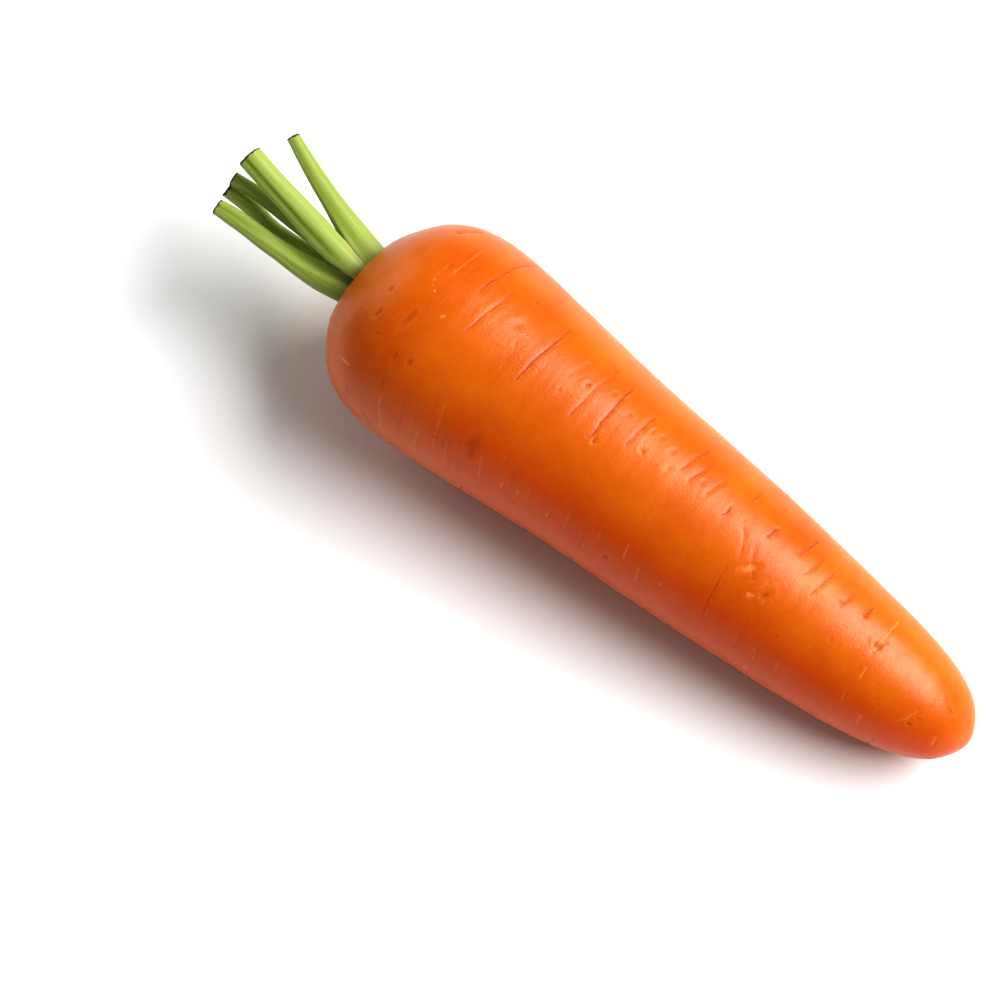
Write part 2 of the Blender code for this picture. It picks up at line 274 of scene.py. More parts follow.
class StalkSettings(bpy.types.PropertyGroup):
    rows: IntProperty(name="Rows", description="Rings of points along a stalk", default=150, min=40)
    columns: IntProperty(name="Columns", description="Points around a stalk", default=64, min=16)
    flatness: share("Flatness", "Thickness as a share of the width", 0.8)
    green: colour("Green", "Most of a stalk", (0.29, 0.40, 0.020))
    light_green: colour("Light Green", "The ribs and the upper side", (0.47, 0.54, 0.190))
    # Dark green also serves as painted shade on the stalks that lie under the others.
    dark_green: colour("Dark Green", "The channels and the inner stalks", (0.14, 0.24, 0.002))
    sheath: colour("Sheath", "The dry edge of a leaf base", (0.52, 0.46, 0.22))
    dried_cut: colour("Dried Cut", "The cut ends", (0.085, 0.052, 0.022))
    roughness: share("Roughness", "Of the stalks", 0.42)


class CollarSettings(bpy.types.PropertyGroup):
    columns: IntProperty(name="Columns", description="Points around the collar",
                         default=256, min=64)
    rows: IntProperty(name="Rows", description="Points around the collar's section",
                      default=24, min=8)
    ragged: share("Ragged", "How much of its height the torn edge loses", 0.45)
    green: colour("Green", "The foot of the collar", (0.22, 0.25, 0.025))
    brown: colour("Brown", "The torn, dry edge", (0.26, 0.145, 0.045))


class StudioSettings(bpy.types.PropertyGroup):
    azimuth: FloatProperty(name="Azimuth", description="Of the camera", subtype="ANGLE",
                           default=math.radians(37.79))
    elevation: FloatProperty(name="Elevation", description="Of the camera", subtype="ANGLE",
                             default=math.radians(73.3))
    distance: length("Distance", "From the camera to what it aims at", 0.600)
    lens: FloatProperty(name="Focal Length", description="In millimetres", default=95.06)
    aim: FloatVectorProperty(name="Aim", description="From the middle of the carrot's box",
                             default=(-10.53 * MM, -21.67 * MM, -4.05 * MM), size=3,
                             subtype="TRANSLATION")
    key_power: FloatProperty(name="Key Power", description="Of the large soft lamp", default=32.0,
                             min=0.0, unit="POWER")
    side_power: FloatProperty(name="Side Power", description="Of the lamp beyond the crown",
                              default=1.5, min=0.0, unit="POWER")
    sky: share("Sky", "Strength of the even light from all round", 0.15, 4.0)
    floor: colour("Floor", "The pale floor", (0.93, 0.93, 0.93))


# ---- node graphs -------------------------------------------------------------------------------


class Graph:
    """Adds nodes to a tree, and feeds their inputs in order with values, outputs or nodes."""

    def __init__(self, tree):
        self.tree = tree

    def feed(self, socket, value):
        if isinstance(value, bpy.types.Node):
            value = next(output for output in value.outputs if output.enabled)
        if isinstance(value, bpy.types.NodeSocket):
            self.tree.links.new(value, socket)
        elif value is not None:
            socket.default_value = value

    def add(self, kind, *fed, named=None, **settings):
        node = self.tree.nodes.new(kind)
        for name, value in settings.items():
            setattr(node, name, value)
        for socket, value in zip([socket for socket in node.inputs if socket.enabled], fed):
            self.feed(socket, value)
        for name, value in (named or {}).items():
            self.feed(node.inputs[name], value)
        return node

    def math(self, operation, *fed):
        return self.add("ShaderNodeMath", *fed, operation=operation).outputs[0]

    def product(self, *factors):
        """Several numbers multiplied together."""
        result = factors[0]
        for factor in factors[1:]:
            result = self.math("MULTIPLY", result, factor)
        return result

    def total(self, *terms):
        """Several numbers added up."""
        result = terms[0]
        for term in terms[1:]:
            result = self.math("ADD", result, term)
        return result

    def centred(self, value):
        """A number from 0 to 1, moved to lie as far above 0 as below it."""
        return self.math("SUBTRACT", value, 0.5)

    def vector(self, operation, *fed):
        node = self.add("ShaderNodeVectorMath", operation=operation)
        second = node.inputs["Scale"] if operation == "SCALE" else node.inputs[1]
        for socket, value in zip((node.inputs[0], second), fed):
            self.feed(socket, value)
        return next(output for output in node.outputs if output.enabled)

    def scaled(self, value, low, high, new_low=0.0, new_high=1.0, smooth=False):
        kind = "SMOOTHSTEP" if smooth else "LINEAR"
        return self.add("ShaderNodeMapRange", value, low, high, new_low, new_high,
                        interpolation_type=kind).outputs[0]

    def joined(self, x, y, z):
        return self.add("ShaderNodeCombineXYZ", x, y, z).outputs[0]

    def split(self, vector):
        return self.add("ShaderNodeSeparateXYZ", vector).outputs

    def noise(self, vector, scale, detail=2.0, roughness=0.5):
        return self.add("ShaderNodeTexNoise", vector, scale, detail, roughness).outputs["Fac"]

    def blended(self, factor, first, second):
        """Two colours mixed by a factor."""
        return self.add("ShaderNodeMix", factor, first, second, data_type="RGBA").outputs["Result"]

    def bell(self, value, width):
        """1 where value is 0, falling to nothing over about twice the width."""
        ratio = self.math("DIVIDE", value, width)
        return self.math("EXPONENT", self.product(ratio, ratio, -1.0))

    def stored(self, geometry, name, value, kind="FLOAT", domain="POINT"):
        return self.add("GeometryNodeStoreNamedAttribute", geometry, True, name, value,
                        data_type=kind, domain=domain).outputs[0]

    def attribute(self, name, kind="FLOAT"):
        return self.add("GeometryNodeInputNamedAttribute", name, data_type=kind).outputs[0]

    def on_surface(self, name, output="Vector"):
        """What a material reads from the attribute of that name."""
        return self.add("ShaderNodeAttribute", attribute_name=name).outputs[output]


def geometry_tree(name, inputs):
    """A Geometry Nodes tree with named inputs: its graph and the outputs of its Group Input."""
    tree = bpy.data.node_groups.new(name, "GeometryNodeTree")
    tree.is_modifier = True
    tree.interface.new_socket("Geometry", in_out="INPUT", socket_type="NodeSocketGeometry")
    tree.interface.new_socket("Geometry", in_out="OUTPUT", socket_type="NodeSocketGeometry")
    for label, (kind, default) in inputs.items():
        socket = tree.interface.new_socket(label, in_out="INPUT", socket_type="NodeSocket" + kind)
        if default is not None:
            socket.default_value = default
    graph = Graph(tree)
    return graph, graph.add("NodeGroupInput").outputs


def flat_sheet(graph, columns, rows):
    """A unit sheet with its UV map, and each point's place on it. Its two sides meet when rolled."""
    grid = graph.add("GeometryNodeMeshGrid", 1.0, 1.0, graph.math("ADD", columns, 1.0), rows)
    sheet = graph.stored(grid.outputs["Mesh"], "UVMap", grid.outputs["UV Map"], "FLOAT2", "CORNER")
    return sheet, graph.split(graph.add("GeometryNodeInputPosition"))


def finish_tree(graph, geometry, material):
    """Smooth, realised and given its material, the geometry leaves the tree."""
    smooth = graph.add("GeometryNodeSetShadeSmooth", geometry)
    real = graph.add("GeometryNodeRealizeInstances", smooth)
    coated = graph.add("GeometryNodeSetMaterial", real, True, material)
    graph.add("NodeGroupOutput", coated)


def grown(name, source, tree, values):
    """What the tree makes of source, as a plain mesh object. The source is removed."""
    bpy.context.scene.collection.objects.link(source)
    modifier = source.modifiers.new("grow", "NODES")
    modifier.node_group = tree
    for item in tree.interface.items_tree:
        if item.in_out == "INPUT" and item.name in values:
            modifier[item.identifier] = values[item.name]
    bpy.context.view_layer.update()
    depsgraph = bpy.context.evaluated_depsgraph_get()
    mesh = bpy.data.meshes.new_from_object(source.evaluated_get(depsgraph), depsgraph=depsgraph)
    mesh.name = name
    bpy.data.objects.remove(source, do_unlink=True)
    piece = bpy.data.objects.new(name, mesh)
    bpy.context.scene.collection.objects.link(piece)
    return piece


def shader_group(name, inputs, outputs):
    """A shader node group: its graph, its inputs, and the node whose inputs are its outputs."""
    tree = bpy.data.node_groups.new(name, "ShaderNodeTree")
    for label, (kind, default) in inputs.items():
        socket = tree.interface.new_socket(label, in_out="INPUT", socket_type="NodeSocket" + kind)
        if default is not None:
            socket.default_value = default
    for label, kind in outputs.items():
        tree.interface.new_socket(label, in_out="OUTPUT", socket_type="NodeSocket" + kind)
    graph = Graph(tree)
    return graph, graph.add("NodeGroupInput").outputs, graph.add("NodeGroupOutput")


def grain_group():
    """Fine plant grain: a height for bump, and a slow and a quick mottle."""
    found = bpy.data.node_groups.get("plant_grain")
    if found:
        return found
    graph, given, left = shader_group(
        "plant_grain",
        {"Vector": ("Vector", None), "Patch Size": ("Float", 14 * MM),
         "Grain Size": ("Float", 0.5 * MM)},
        {"Height": "Float", "Slow": "Float", "Quick": "Float"})
    patch = graph.math("DIVIDE", 1.0, given["Patch Size"])
    grain = graph.math("DIVIDE", 1.0, given["Grain Size"])
    fine = graph.noise(given["Vector"], grain, 3.0, 0.6)
    slow = graph.noise(given["Vector"], patch, 3.0, 0.55)
    quick = graph.noise(given["Vector"], graph.product(patch, 4.3), 4.0, 0.6)
    graph.feed(left.inputs["Height"], fine)
    graph.feed(left.inputs["Slow"], graph.scaled(slow, 0.3, 0.7))
    graph.feed(left.inputs["Quick"], graph.scaled(quick, 0.3, 0.7))
    return graph.tree


def dried_group():
    """Dried plant edges: the dry colour where the mask says, with a broken border."""
    found = bpy.data.node_groups.get("dried_edge")
    if found:
        return found
    graph, given, left = shader_group(
        "dried_edge",
        {"Colour": ("Color", None), "Dry Colour": ("Color", None), "Mask": ("Float", 0.0),
         "Vector": ("Vector", None), "Break Size": ("Float", 0.6 * MM)},
        {"Colour": "Color", "Dryness": "Float"})
    rough = graph.noise(given["Vector"], graph.math("DIVIDE", 1.0, given["Break Size"]), 3.0, 0.6)
    shifted = graph.math("ADD", given["Mask"], graph.scaled(rough, 0.3, 0.7, -0.25, 0.25))
    dryness = graph.scaled(shifted, 0.35, 0.65, smooth=True)
    graph.feed(left.inputs["Colour"],
               graph.blended(dryness, given["Colour"], given["Dry Colour"]))
    graph.feed(left.inputs["Dryness"], dryness)
    return graph.tree


def new_material(name):
    material = bpy.data.materials.new(name)
    material.use_nodes = True
    graph = Graph(material.node_tree)
    return material, graph, material.node_tree.nodes["Principled BSDF"]


def placed_group(graph, tree, **fed):
    node = graph.add("ShaderNodeGroup", node_tree=tree)
    for name, value in fed.items():
        graph.feed(node.inputs[name.replace("_", " ")], value)
    return node.outputs


def opaque(colour_value):
    return (*colour_value, 1.0)


def set_all_over(shader, values):
    """Sets the shader's inputs that are the same all over the surface."""
    for name, value in values.items():
        shader.inputs[name].default_value = value


# ---- the root ----------------------------------------------------------------------------------


def welded(node):
    """A copy of a CAD node's mesh with its loose triangles joined into quads."""
    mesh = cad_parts[node].data.copy()
    work = bmesh.new()
    work.from_mesh(mesh)
    bmesh.ops.remove_doubles(work, verts=work.verts, dist=WELD)
    flat = math.radians(40)
    bmesh.ops.join_triangles(work, faces=work.faces, angle_face_threshold=flat,
                             angle_shape_threshold=flat)
    work.to_mesh(mesh)
    work.free()
    return mesh


def root_axes(mesh):
    """The place of the root's own axes, from the poles of its mesh in the crown's pit and the tip."""
    ends = Counter(i for edge in mesh.edges for i in edge.vertices)
    poles = sorted((mesh.vertices[i].co for i, count in ends.items() if count > POLE_EDGES),
                   key=lambda co: co.x)
    pit, tip = poles[0], poles[-1]
    axis = Vector((tip.x - pit.x, 0.0, tip.z - pit.z)).normalized()
    rim = pit - axis * PIT_DEPTH
    turn = Matrix.Rotation(math.atan2(-axis.z, axis.x), 4, "Y")
    return Matrix.Translation((rim.x, tip.y, rim.z)) @ turn


def scattered(settings):
    """Creases and spots for the hidden side, and faint ones all over, from one seed."""
    chance = random.Random(SEED)
    creases = []
    spots = []
    for _ in range(settings.hidden_creases):
        around = chance.choice((-1, 1)) * chance.uniform(95, 160)
        span = chance.uniform(8, 34)
        span = min(span, 2 * (SEAM - abs(around)))
        tone = chance.choice((0.7, 0.6, 0.5, -0.6))
        creases.append((chance.uniform(12, 160), around, span, chance.uniform(-1.5, 1.5),
                        chance.uniform(-0.4, 0.4), chance.uniform(0.10, 0.32), tone))
    for _ in range(settings.fine_creases):
        around = chance.uniform(-165, 165)
        span = min(chance.uniform(5, 20), 2 * (SEAM - abs(around)))
        tone = chance.choice((0.3, 0.25, -0.3, -0.2))
        creases.append((chance.uniform(14, 164), around, span, chance.uniform(-0.8, 0.8),
                        chance.uniform(-0.2, 0.2), chance.uniform(0.03, 0.07), tone))
    for _ in range(HIDDEN_SPOTS):
        around = chance.choice((-1, 1)) * chance.uniform(80, 172)
        spots.append((chance.uniform(8, 168), around, chance.uniform(0.4, 1.4),
                      chance.uniform(0.3, 0.7), chance.uniform(0, 180),
                      chance.uniform(0.08, 0.3), chance.choice((0.9, 0.7, 0.5, -0.7))))
    for _ in range(FAINT_SPOTS):
        spots.append((chance.uniform(8, 168), chance.uniform(-172, 172),
                      chance.uniform(0.25, 0.5), chance.uniform(0.2, 0.35),
                      chance.uniform(0, 180), chance.uniform(0.02, 0.07),
                      chance.choice((0.45, 0.35, -0.4))))
    return creases, spots


def layout(name, rows, fields):
    """One loose point for each row, on the unrolled skin, with the row's other values on it."""
    mesh = bpy.data.meshes.new(name)
    points = [(row[0] * MM, math.radians(row[1]) * UNROLL_RADIUS, 0.0) for row in rows]
    mesh.from_pydata(points, [], [])
    for column, (field, scale) in enumerate(fields.items(), start=2):
        attribute = mesh.attributes.new(field, "FLOAT", "POINT")
        attribute.data.foreach_set("value", [row[column] * scale for row in rows])
    points_object = bpy.data.objects.new(name, mesh)
    bpy.context.scene.collection.objects.link(points_object)
    return points_object


def crease_lines(graph, layout_object, wander):
    """Each laid-out point, made a line across the unrolled skin, with its strength along it."""
    source = graph.add("GeometryNodeObjectInfo", layout_object, False).outputs["Geometry"]
    points = graph.add("GeometryNodeMeshToPoints", source)
    centred = graph.stored(points, "middle", graph.add("GeometryNodeInputPosition"), "FLOAT_VECTOR")
    line = graph.add("GeometryNodeMeshLine", CREASE_POINTS, (0.0, 0.0, 0.0), (0.0, 0.0, 0.0))
    copies = graph.add("GeometryNodeInstanceOnPoints", centred, named={"Instance": line})
    lines = graph.add("GeometryNodeRealizeInstances", copies).outputs[0]
    index = graph.add("GeometryNodeInputIndex")
    step = graph.math("FLOORED_MODULO", index, float(CREASE_POINTS))
    t = graph.math("DIVIDE", step, CREASE_POINTS - 1.0)
    from_middle = graph.centred(t)
    hump = graph.product(t, graph.math("SUBTRACT", 1.0, t), 4.0)
    rise = graph.product(graph.attribute("rise"), from_middle)
    bow = graph.product(graph.attribute("bow"), hump)
    across = graph.product(graph.attribute("span"), from_middle)
    spread = graph.vector("ADD", graph.attribute("middle", "FLOAT_VECTOR"),
                          graph.joined(graph.math("ADD", rise, bow), across, 0.0))
    stray = graph.product(graph.centred(graph.noise(spread, 1 / STRAY_SIZE, 3.0)), wander)
    place = graph.vector("ADD", spread, graph.joined(stray, 0.0, 0.0))
    moved = graph.add("GeometryNodeSetPosition", lines, True, place)
    taper = graph.scaled(hump, 0.0, 0.4, smooth=True)
    patchy = graph.scaled(graph.noise(spread, 1 / BREAK_SIZE, 2.0), 0.3, 0.7, 0.35, 1.15)
    return graph.stored(moved, "strength", graph.product(taper, patchy, graph.attribute("depth")))


def nearest_value(graph, geometry, index, name, kind="FLOAT"):
    return graph.add("GeometryNodeSampleIndex", geometry, graph.attribute(name, kind), index,
                     data_type=kind).outputs[0]


def cast_sheet(graph, given):
    """A sheet, and for each point its share down the root, its angle, and its place on the skin."""
    smooth = graph.add("GeometryNodeSubdivisionSurface", given["Geometry"], SMOOTHING)
    sheet, spot = flat_sheet(graph, given["Columns"], given["Rings"])
    down = graph.math("ADD", spot["Y"], 0.5)
    angle = graph.product(spot["X"], -2 * math.pi)
    tip_start = graph.math("SUBTRACT", 1.0, given["Tip Share"])
    lean = graph.product(graph.total(graph.scaled(down, 0.0, given["Crown Share"]),
                                     graph.scaled(down, tip_start, 1.0)), math.pi / 2)
    origin = graph.scaled(down, given["Crown Share"], tip_start, given["Crown Centre"],
                          given["Tip Centre"])
    outward = graph.math("SINE", lean)
    ray = graph.joined(graph.product(graph.math("COSINE", lean), -1.0),
                       graph.product(outward, graph.math("SINE", angle)),
                       graph.product(outward, graph.math("COSINE", angle)))
    hit = graph.add("GeometryNodeRaycast", smooth, 0.0, graph.joined(origin, 0.0, 0.0), ray, 1.0)
    return sheet, down, angle, hit.outputs["Hit Position"]


def crease_relief(graph, given, unrolled):
    """The creases' height, and each point's offset from its nearest crease, its strength and tone."""
    lines = crease_lines(graph, given["Crease Layout"], given["Wander"])
    near = graph.add("GeometryNodeProximity", lines, None, unrolled, target_element="EDGES")
    index = graph.add("GeometryNodeSampleNearest", lines, unrolled).outputs[0]
    side = graph.math("SIGN", graph.math("SUBTRACT", graph.split(unrolled)["X"],
                                         graph.split(near.outputs["Position"])["X"]))
    offset = graph.product(near.outputs["Distance"], side)
    strength = nearest_value(graph, lines, index, "strength")
    tone = nearest_value(graph, lines, index, "tone")
    floor = graph.product(graph.bell(offset, given["Crease Width"]), -1.0)
    lip = graph.bell(graph.math("SUBTRACT", graph.math("ABSOLUTE", offset), LIP_DISTANCE),
                     LIP_WIDTH)
    slump = graph.product(graph.bell(offset, SLUMP_WIDTH), -SLUMP_DEPTH)
    form = graph.total(floor, graph.product(lip, LIP_HEIGHT), slump)
    marks = graph.joined(graph.math("DIVIDE", offset, MM), graph.math("DIVIDE", strength, MM), tone)
    return graph.product(form, graph.product(strength, given["Crease Depth"])), marks


def spot_relief(graph, given, unrolled):
    """The spots' height, and for each point its place in its nearest spot, and the spot's tone."""
    source = graph.add("GeometryNodeObjectInfo", given["Spot Layout"], False).outputs["Geometry"]
    which = graph.add("GeometryNodeSampleNearest", source, unrolled).outputs[0]
    middle = graph.add("GeometryNodeSampleIndex", source, graph.add("GeometryNodeInputPosition"),
                       which, data_type="FLOAT_VECTOR").outputs[0]
    turned = graph.split(graph.add(
        "ShaderNodeVectorRotate", graph.vector("SUBTRACT", unrolled, middle), (0.0, 0.0, 0.0),
        rotation_type="Z_AXIS", named={"Angle": nearest_value(graph, source, which, "turn")}))
    x = graph.math("DIVIDE", turned["X"], nearest_value(graph, source, which, "width"))
    y = graph.math("DIVIDE", turned["Y"], nearest_value(graph, source, which, "length"))
    reach = graph.vector("LENGTH", graph.joined(x, y, 0.0))
    depth = nearest_value(graph, source, which, "depth")
    pit = graph.product(graph.bell(reach, SPOT_PIT_WIDTH), graph.product(depth, -1.0))
    rim = graph.bell(graph.math("SUBTRACT", reach, SPOT_RIM_DISTANCE), SPOT_RIM_WIDTH)
    rim = graph.product(rim, graph.product(depth, SPOT_RIM_HEIGHT))
    marks = graph.joined(x, y, nearest_value(graph, source, which, "tone"))
    return graph.total(pit, rim), marks


def uneven_relief(graph, given, place):
    """Swellings, some in bands across the root and some broad ones."""
    stretched = graph.vector("MULTIPLY", place, (1 / (7 * MM), 1 / (26 * MM), 1 / (26 * MM)))
    bands = graph.centred(graph.noise(stretched, 1.0, 2.0))
    broad = graph.centred(graph.noise(place, 1 / (32 * MM), 1.0))
    return graph.total(graph.product(bands, graph.product(given["Swelling"], 2.0)),
                       graph.product(broad, graph.product(given["Unevenness"], 2.0)))


def root_tree():
    """Casts a fine sheet from inside onto the smooth root, and presses creases and pits into it."""
    graph, given = geometry_tree("grown_root", {
        "Rings": ("Int", 490), "Columns": ("Int", 192),
        "Crown Share": ("Float", 0.27), "Tip Share": ("Float", 0.16),
        "Crown Centre": ("Float", 40 * MM), "Tip Centre": ("Float", 150 * MM),
        "Crease Layout": ("Object", None), "Spot Layout": ("Object", None),
        "Crease Width": ("Float", 0.25 * MM), "Crease Depth": ("Float", 0.8),
        "Wander": ("Float", 1.1 * MM), "Swelling": ("Float", 0.16 * MM),
        "Unevenness": ("Float", 0.30 * MM), "Material": ("Material", None)})
    sheet, down, angle, place = cast_sheet(graph, given)
    unrolled = graph.joined(graph.split(place)["X"], graph.product(angle, UNROLL_RADIUS), 0.0)
    creased, crease_marks = crease_relief(graph, given, unrolled)
    pitted, spot_marks = spot_relief(graph, given, unrolled)
    swell = graph.total(creased, uneven_relief(graph, given, place), pitted)
    clear_of_pit = graph.scaled(down, *CLEAR_OF_PIT, smooth=True)
    clear_of_tip = graph.scaled(down, *CLEAR_OF_TIP, 0.3, 1.0)
    swell = graph.product(swell, graph.product(clear_of_pit, clear_of_tip))

    sheet = graph.stored(sheet, "swell", swell)
    sheet = graph.stored(sheet, "crease", crease_marks, "FLOAT_VECTOR")
    sheet = graph.stored(sheet, "spot", spot_marks, "FLOAT_VECTOR")
    sheet = graph.stored(sheet, "down_root", down)
    sheet = graph.stored(sheet, "side_root", graph.math("SINE", angle))
    cast = graph.add("GeometryNodeSetPosition", sheet, True, place)
    closed = graph.add("GeometryNodeMergeByDistance", cast, True, WELD)
    normal = graph.add("GeometryNodeInputNormal").outputs["Normal"]
    shaped = graph.add("GeometryNodeSetPosition", closed, named={
        "Offset": graph.vector("SCALE", normal, graph.attribute("swell"))})
    finish_tree(graph, shaped, given["Material"])
    return graph.tree


def mottled(graph, settings, grain, banding):
    """Orange with lighter and darker patches, and faint lighter bands across the root."""
    tone = graph.blended(grain["Slow"], opaque(settings.orange), opaque(settings.light_orange))
    deep = graph.scaled(grain["Quick"], 0.55, 1.0, 0.0, 0.18)
    tone = graph.blended(deep, tone, opaque(settings.deep_orange))
    bands = graph.scaled(banding, 0.5, 0.75, 0.0, 0.22)
    return graph.blended(bands, tone, opaque(settings.light_orange))


def with_painted_shade_and_crown(graph, settings, tone, grain):
    """Painted shade, a redder orange low on one side; browner beside the leaf stalks, and brown down
    in their pit.
    """
    down = graph.on_surface("down_root", "Fac")
    side = graph.on_surface("side_root", "Fac")
    # Painted shade: the redder orange of the shaded underside, low on one side.
    shade_mask = graph.product(graph.scaled(side, *PAINTED_SHADE_SIDE, 0.0, 0.65, smooth=True),
                          graph.scaled(down, *PAINTED_SHADE_START, 0.3, 1.0))
    tone = graph.blended(shade_mask, tone, opaque(settings.painted_shade_orange))
    blurred = graph.total(down, graph.product(graph.centred(grain["Quick"]), 0.012))
    crown = graph.scaled(blurred, *CROWN_TINTED, 0.0, 0.4, smooth=True)
    tone = graph.blended(crown, tone, opaque(settings.crown_tint))
    pit = graph.scaled(blurred, *PIT_TINTED, 0.0, 0.85, smooth=True)
    return graph.blended(pit, tone, opaque(settings.pit_brown))


def stained_and_corky(graph, tone):
    """How stained and how corky a mark is, from its tone."""
    return (graph.math("MAXIMUM", tone, 0.0),
            graph.math("MAXIMUM", graph.product(tone, -1.0), 0.0))


def with_creases(graph, settings, tone, broken, crumb):
    """Stained and corky lines, stained ones with a darker halo and, along one lip, a pale painted
    highlight. Also their mask.
    """
    crease = graph.split(graph.on_surface("crease"))
    dark, pale = stained_and_corky(graph, crease["Z"])
    present = graph.scaled(crease["Y"], 0.0, 0.20)
    wobble = graph.product(graph.centred(broken), 0.3)
    offset = graph.total(crease["X"], wobble)
    line = graph.product(graph.scaled(graph.math("ABSOLUTE", offset), 0.36, 0.06, smooth=True),
                         present, graph.scaled(broken, 0.32, 0.55, 0.35, 1.0))
    halo = graph.product(graph.bell(offset, 1.1), present, 0.28)
    tone = graph.blended(graph.product(halo, dark), tone, opaque(settings.deep_orange))
    tone = graph.blended(graph.product(line, dark), tone, opaque(settings.crease_brown))
    tone = graph.blended(graph.product(line, pale), tone, opaque(settings.pale_cork_and_glint))
    # Painted highlight: pale glints along one lip of each stained crease, standing in for the light
    # that lip catches.
    beside = graph.bell(graph.total(graph.math("SUBTRACT", crease["X"], 0.5), wobble), 0.24)
    lip_glint_mask = graph.product(beside, present,
                          graph.product(dark, graph.scaled(crumb, 0.48, 0.66, 0.0, 0.75)))
    return graph.blended(lip_glint_mask, tone, opaque(settings.pale_cork_and_glint)), line


def with_spots(graph, settings, tone, broken, crumb):
    """Stained and corky spots with crumbled edges, and a faint pale rim round the stained ones."""
    spot = graph.split(graph.on_surface("spot"))
    dark, pale = stained_and_corky(graph, spot["Z"])
    reach = graph.total(graph.vector("LENGTH", graph.joined(spot["X"], spot["Y"], 0.0)),
                        graph.product(graph.centred(crumb), 1.3),
                        graph.product(graph.centred(broken), 1.7))
    blot = graph.scaled(reach, 1.0, 0.3, smooth=True)
    rim = graph.bell(graph.math("SUBTRACT", reach, 1.25), 0.3)
    tone = graph.blended(graph.product(rim, dark, 0.10), tone, opaque(settings.pale_cork_and_glint))
    tone = graph.blended(graph.product(blot, dark, 0.65), tone, opaque(settings.crease_brown))
    return graph.blended(graph.product(blot, pale, 0.9), tone, opaque(settings.pale_cork_and_glint))


def carrot_skin(settings):
    """Waxy orange skin: mottling and bands, painted shade low on one side, the crown, the creases and
    the spots.
    """
    material, graph, shader = new_material("carrot_skin")
    place = graph.add("ShaderNodeTexCoord").outputs["Object"]
    grain = placed_group(graph, grain_group(), Vector=place, Patch_Size=18 * MM,
                         Grain_Size=0.55 * MM)
    across = graph.vector("MULTIPLY", place, (1 / (2.2 * MM), 1 / (30 * MM), 1 / (30 * MM)))
    banding = graph.noise(across, 1.0, 3.0, 0.6)
    broken = graph.noise(place, 1 / (1.2 * MM), 3.0, 0.65)
    crumb = graph.noise(place, 1 / (0.45 * MM), 2.0, 0.6)
    tone = mottled(graph, settings, grain, banding)
    tone = with_painted_shade_and_crown(graph, settings, tone, grain)
    tone, line = with_creases(graph, settings, tone, broken, crumb)
    tone = with_spots(graph, settings, tone, broken, crumb)
    graph.feed(shader.inputs["Base Color"], tone)
    graph.feed(shader.inputs["Roughness"], graph.total(
        settings.roughness, graph.product(line, 0.25), graph.product(grain["Quick"], 0.08)))
    height = graph.total(graph.product(grain["Height"], 0.9), graph.product(banding, 0.9))
    bump = graph.add("ShaderNodeBump", 0.5, 0.14 * MM, named={"Height": height})
    graph.feed(shader.inputs["Normal"], bump)
    set_all_over(shader, {"Subsurface Weight": 0.65, "Subsurface Radius": (1.0, 0.16, 0.03),
                          "Subsurface Scale": 7.0 * MM, "Specular IOR Level": 0.37})
    return material


class CARROT_OT_root(bpy.types.Operator):
    """Grow the root, with its creases, pits and corky marks"""

    bl_idname = "carrot.root"
    bl_label = "Root"

    def execute(self, context):
        settings = context.scene.carrot_root
        cage = welded("carrot_root")
        axes = root_axes(cage)
        cage.transform(axes.inverted())
        more_creases, more_spots = scattered(settings)
        creases = layout("crease_layout", CREASES + more_creases, {
            "span": math.radians(1) * UNROLL_RADIUS, "rise": MM, "bow": MM, "depth": MM,
            "tone": 1.0})
        spots = layout("spot_layout", SPOTS + more_spots, {
            "length": MM, "width": MM, "turn": math.radians(1), "depth": MM, "tone": 1.0})
        source = bpy.data.objects.new("root_cage", cage)
        root = grown("grown_root", source, root_tree(), {
            "Rings": settings.rings, "Columns": settings.columns, "Crease Layout": creases,
            "Spot Layout": spots, "Crease Width": settings.crease_width,
            "Crease Depth": settings.crease_depth, "Swelling": settings.swelling,
            "Unevenness": settings.unevenness, "Material": carrot_skin(settings)})
        root.data.transform(axes)
        for guide in (creases, spots):
            bpy.data.objects.remove(guide, do_unlink=True)
        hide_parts("carrot_root")
        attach(root, BODY)
        return {"FINISHED"}


# ---- the leaf stalks ---------------------------------------------------------------------------


def stalk_path(name, route, place):
    """The stalk's centre line as a curve in place, whose radius is half the stalk's width."""
    data = bpy.data.curves.new(name + "_path", "CURVE")
    data.dimensions = "3D"
    data.twist_mode = "Z_UP"
    data.resolution_u = 16
    spline = data.splines.new("BEZIER")
    spline.radius_interpolation = "CARDINAL"
    spline.bezier_points.add(len(route) - 1)
    for point, (along, across, forward, width) in zip(spline.bezier_points, route):
        point.co = place @ (Vector((along, across, forward)) * MM)
        point.radius = width / 2 * MM
        point.handle_left_type = "AUTO"
        point.handle_right_type = "AUTO"
    return bpy.data.objects.new(name + "_path", data)


